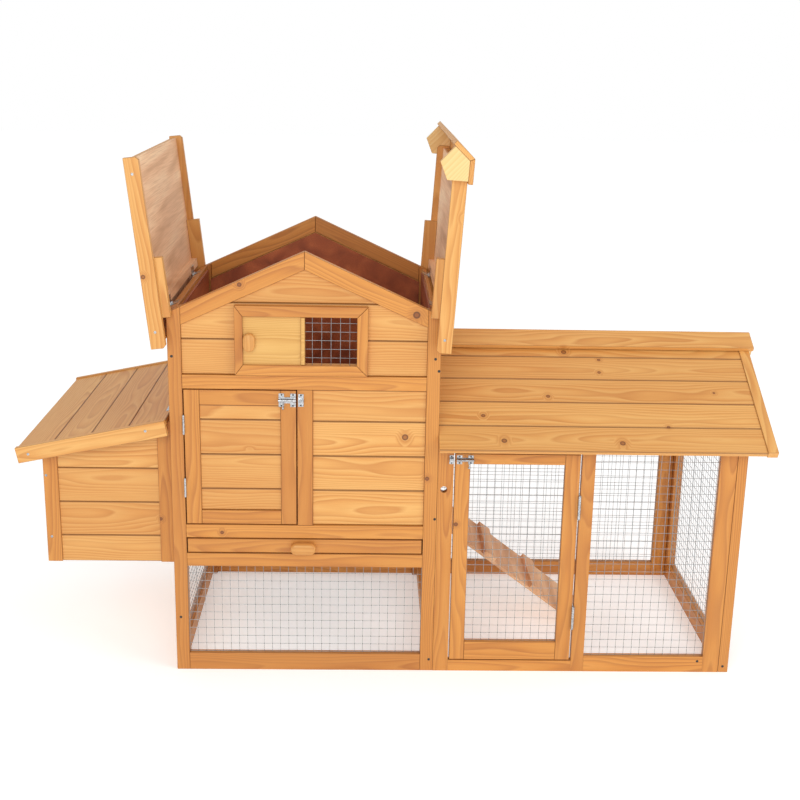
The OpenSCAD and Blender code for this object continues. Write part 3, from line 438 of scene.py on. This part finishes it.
def zinc_plate(name, light, dark, roughness, spangle):
    """Plated or dipped steel: metal whose crystals, this many metres wide, differ a little in shade."""
    made, tree, shader = material(name)
    place = add(tree, "ShaderNodeTexCoord").outputs["Object"]
    crystal = add(tree, "ShaderNodeTexVoronoi", {"Vector": place, "Scale": 1 / spangle})
    shade = add(tree, "ShaderNodeSeparateColor", {0: crystal.outputs["Color"]}).outputs[0]
    film = add(tree, "ShaderNodeTexNoise", {"Vector": place, "Scale": 60.0, "Detail": 4.0}).outputs[0]
    mixed = maths(tree, "MULTIPLY", maths(tree, "ADD", shade, film), 0.5)
    tree.links.new(blended(tree, mixed, colour(light), colour(dark)), shader.inputs["Base Color"])
    rough = add(tree, "ShaderNodeMapRange", {"Value": film, 3: roughness - 0.08, 4: roughness + 0.12})
    tree.links.new(rough.outputs[0], shader.inputs["Roughness"])
    shader.inputs["Metallic"].default_value = 1.0
    return made


# honey-stained fir boards with a satin lacquer: warm orange, darker late wood, soft sheen
FIR = softwood("honey_stained_fir", "#EBBB70", "#DD9F53", "#B8722F", "#623414", 0.48, 0.08)
# the frame timbers take a deeper coat of the same stain
FRAME_FIR = softwood("deep_honey_stained_fir", "#E09E4C", "#D18A39", "#A25E28", "#5A2E12", 0.48, 0.08)
# sawn fir with only a thin clear coat: pale straw
PALE_FIR = softwood("pale_fir", "#E2B76D", "#D4A154", "#B8803C", "#80501F", 0.55, 0.05)
# sawn end grain takes little stain: pale and matt
END_FIR = softwood("pale_end_fir", "#F7DBA2", "#F0CB8A", "#DDAE68", "#96652F", 0.6, 0.0)
# unfinished plywood: pinkish tan, dull
TAN_PLY = peeled_ply("raw_plywood", "#FFDCB2", "#F3C397", "#C8946A", 0.7)
# plywood inside the house, painted dark red-brown as painted shade: the lining in the house's shadow,
# reddened by painted light bounced off the orange wood
SHADE_PAINTED_PLY = peeled_ply("shade_painted_plywood", "#BE683A", "#A4532C", "#7E3A1C", 0.6)
# bright zinc on pressed steel
ZINC = zinc_plate("zinc_plated_steel", "#DFE1E3", "#6E7276", 0.2, 2.5 * MM)
# hot-dipped wire: grey and a little dull
GALVANISED = zinc_plate("galvanised_wire", "#B4B7B8", "#8C9092", 0.45, 4 * MM)
# blackened screw heads
DARK_STEEL = zinc_plate("dark_screw_steel", "#5A5A58", "#333331", 0.4, 3 * MM)


# ---- timber ------------------------------------------------------------------

# words in the names of the steel nodes
HARDWARE = ("hinge", "bolt", "mesh", "pan", "screw")
# the plywood sheets, bare, or painted dark with the shade inside the house
PLY = {"wall_lining": SHADE_PAINTED_PLY, "roof_left_lining": TAN_PLY, "roof_right_lining": TAN_PLY,
       "nest_box_floor": TAN_PLY, "nest_box_divider": TAN_PLY,
       "ramp_board": TAN_PLY, "ramp_cleats": TAN_PLY}
# rounded by hand, so their faces are shaded smooth
TURNED = ("shutter_knob", "tray_handle")
# words in the names of the frame timbers
FRAMES = ("posts", "rails", "stile", "door_frame", "run_front", "run_end_frame", "run_back", "rafters",
          "tray_front", "window_frame")

for node, shown in frame["nodes"].items():
    if node in PLY:
        shown.data.materials.clear()
        shown.data.materials.append(PLY[node])
    elif any(word in node for word in HARDWARE):
        shown.data.materials.clear()
        shown.data.materials.append(ZINC)
    else:
        slot, finish = "fir", FRAME_FIR if any(word in node for word in FRAMES) else FIR
        if node == "window_shutter":
            slot, finish = "pale_fir", PALE_FIR
        timber(node, finish, smooth=node in TURNED,
               block_finish=END_FIR if "ridge_cap" in node else None)


# ---- welded mesh -------------------------------------------------------------

def evenly(low, high):
    """Places from one side to the other, as near to the wire spacing as divides it evenly."""
    return np.linspace(low + WIRE_R, high - WIRE_R, max(2, round((high - low) / WIRE_PITCH) + 1))


def welded_panel(low, high, gable=False):
    """Upright wires with cross wires welded behind them. A gable panel is a triangle: its wires end at
    the two slopes that rise from its lower corners to the middle of its top."""
    thin = int(np.argmin(high - low))
    wide = 1 - thin
    depth = (low[thin] + high[thin]) / 2
    half, mid, rise = (high[wide] - low[wide]) / 2, (high[wide] + low[wide]) / 2, high[2] - low[2]
    across, upward = evenly(low[wide], high[wide]), evenly(low[2], high[2])
    top = low[2] + rise * (1 - np.abs(across - mid) / half) if gable else np.full_like(across, high[2])
    reach = half * (1 - (upward - low[2]) / rise) if gable else np.full_like(upward, half)
    tall, broad = top > low[2] + SHORTEST_WIRE, reach > SHORTEST_WIRE
    across, top = across[tall], top[tall]
    upward, reach = upward[broad], reach[broad]
    uprights, crosses = np.zeros((2, len(across), 3)), np.zeros((2, len(upward), 3))
    uprights[:, :, wide], crosses[:, :, 2] = across, upward
    uprights[:, :, thin], crosses[:, :, thin] = depth - WIRE_R * 0.9, depth + WIRE_R * 0.9
    uprights[0, :, 2], uprights[1, :, 2] = low[2], top
    crosses[0, :, wide], crosses[1, :, wide] = mid - reach, mid + reach
    return [rods(*uprights, WIRE_R), rods(*crosses, WIRE_R)]


for node in [n for n in frame["nodes"] if "mesh" in n]:
    shapes = []
    for low, high in part_boxes(node):
        gable = node == "run_end_mesh" and low[2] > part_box("run_front_frame")[1][2] - 5 * MM
        shapes += welded_panel(low, high, gable)
    panel = new_piece(node + "_wires", *gather(shapes), body_of(node), "zinc", GALVANISED)
    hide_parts(node)


# ---- screws ------------------------------------------------------------------

def screw(place, axis, radius=SCREW_R):
    """A countersunk head: a shallow dish with a low rim."""
    dish = turned([(radius, -0.5 * MM), (radius, 0.35 * MM), (radius * 0.85, 0.6 * MM),
                   (radius * 0.35, 0.25 * MM), (radius * 0.1, 0.1 * MM)], 16)
    return aim(dish[0], place, axis), dish[1]


def front_screws(name, body, spots):
    """Plated screws driven in from the front at (x, z) millimetres, into a face at y metres."""
    heads = [screw((at(x, 0, z)[0], y, at(x, 0, z)[2]), (0, -1, 0)) for x, z, y in spots]
    return new_piece(name, *gather(heads), body, "zinc", ZINC, smooth=True)


heads = [screw(((low[0] + high[0]) / 2, high[1], (low[2] + high[2]) / 2), (0, -1, 0))
         for low, high in part_boxes("frame_screws")]
frame_heads = new_piece("frame_screw_heads", *gather(heads), body_of("frame_screws"), "dark_steel",
                        DARK_STEEL, smooth=True)
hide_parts("frame_screws")

barge_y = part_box("roof_left_frame")[0][1]
lid_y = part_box("nest_lid_frame")[0][1]
nest_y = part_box("nest_box_posts")[0][1]
front_screws("left_barge_screws", "roof_left", [(-65, 1346, barge_y), (-23, 954, barge_y)])
front_screws("right_barge_screws", "roof_right", [(706, 943, barge_y)])
front_screws("lid_barge_screws", "nest_lid", [(-364, 623, lid_y), (-60, 689, lid_y)])
front_screws("nest_post_screws", "coop", [(-333, 550, nest_y), (-327, 377, nest_y)])


def plate_screws(node):
    """Small screws near the corners of each bolt plate or keeper of a node, or in pairs if it is narrow."""
    heads = []
    for low, high in part_boxes(node):
        inset = min(PLATE_SCREW_IN, (high[0] - low[0]) / 2)
        for x in sorted({low[0] + inset, high[0] - inset}):
            heads += [screw((x, high[1] - PLATE_T, z), (0, -1, 0), PLATE_SCREW_R)
                      for z in (low[2] + PLATE_SCREW_EDGE, high[2] - PLATE_SCREW_EDGE)]
    new_piece(node + "_screws", *gather(heads), body_of(node), "dark_steel", DARK_STEEL, smooth=True)


for node in ("house_bolt_plate", "run_bolt_plate", "bolt_keepers"):
    plate_screws(node)


# ---- studio ------------------------------------------------------------------

def area_light(name, place, target, size, power):
    """A soft square light that faces a point."""
    lamp = bpy.data.lights.new(name, "AREA")
    lamp.size = size
    lamp.energy = power
    light = bpy.data.objects.new(name, lamp)
    light.location = place
    light.rotation_euler = (Vector(target) - Vector(place)).to_track_quat("-Z", "Y").to_euler()
    bpy.context.scene.collection.objects.link(light)


bpy.ops.mesh.primitive_plane_add(size=40)
floor = bpy.context.object
floor.name = "studio_floor"
paper, tree, shader = material("white_studio_paper")
shader.inputs["Base Color"].default_value = colour("#F4F4F4")
shader.inputs["Roughness"].default_value = 0.9
shader.inputs["Emission Color"].default_value = colour("#FFFFFF")
shader.inputs["Emission Strength"].default_value = 0.32
floor.data.materials.append(paper)

world = bpy.data.worlds.new("studio")
world.use_nodes = True
world.node_tree.nodes["Background"].inputs[0].default_value = colour("#FFFFFF")
sky = world.node_tree
seen = add(sky, "ShaderNodeLightPath").outputs["Is Camera Ray"]
strength = add(sky, "ShaderNodeMapRange", {"Value": seen, 3: 0.78, 4: 1.0}).outputs[0]
sky.links.new(strength, sky.nodes["Background"].inputs[1])
bpy.context.scene.world = world
bpy.context.scene.view_settings.view_transform = "Standard"
area_light("key", (-1.0, -3.8, 2.4), (0, 0, 0.6), 2.0, 44)
area_light("fill", (3.0, -2.2, 2.2), (0, 0, 0.7), 2.0, 38)

# the camera: a 56.5 mm lens looking slightly down, with a small tilt to the horizon
LENS = 56.5
EYE = (-0.0917, -3.4673, 1.6639)
YAW, PITCH, ROLL = 0.0284, 0.2768, 0.0197
ahead = Vector((math.sin(YAW) * math.cos(PITCH), math.cos(YAW) * math.cos(PITCH), -math.sin(PITCH)))
level = Vector((math.cos(YAW), -math.sin(YAW), 0))
upward = level.cross(ahead)
right = math.cos(ROLL) * level + math.sin(ROLL) * upward
up = -math.sin(ROLL) * level + math.cos(ROLL) * upward
lens = bpy.data.cameras.new("camera")
lens.lens = LENS
lens.sensor_width = 36
camera = bpy.data.objects.new("camera", lens)
axes = Matrix((right, up, -ahead)).transposed().to_4x4()
camera.matrix_world = Matrix.Translation(EYE) @ axes
bpy.context.scene.collection.objects.link(camera)
bpy.context.scene.camera = camera
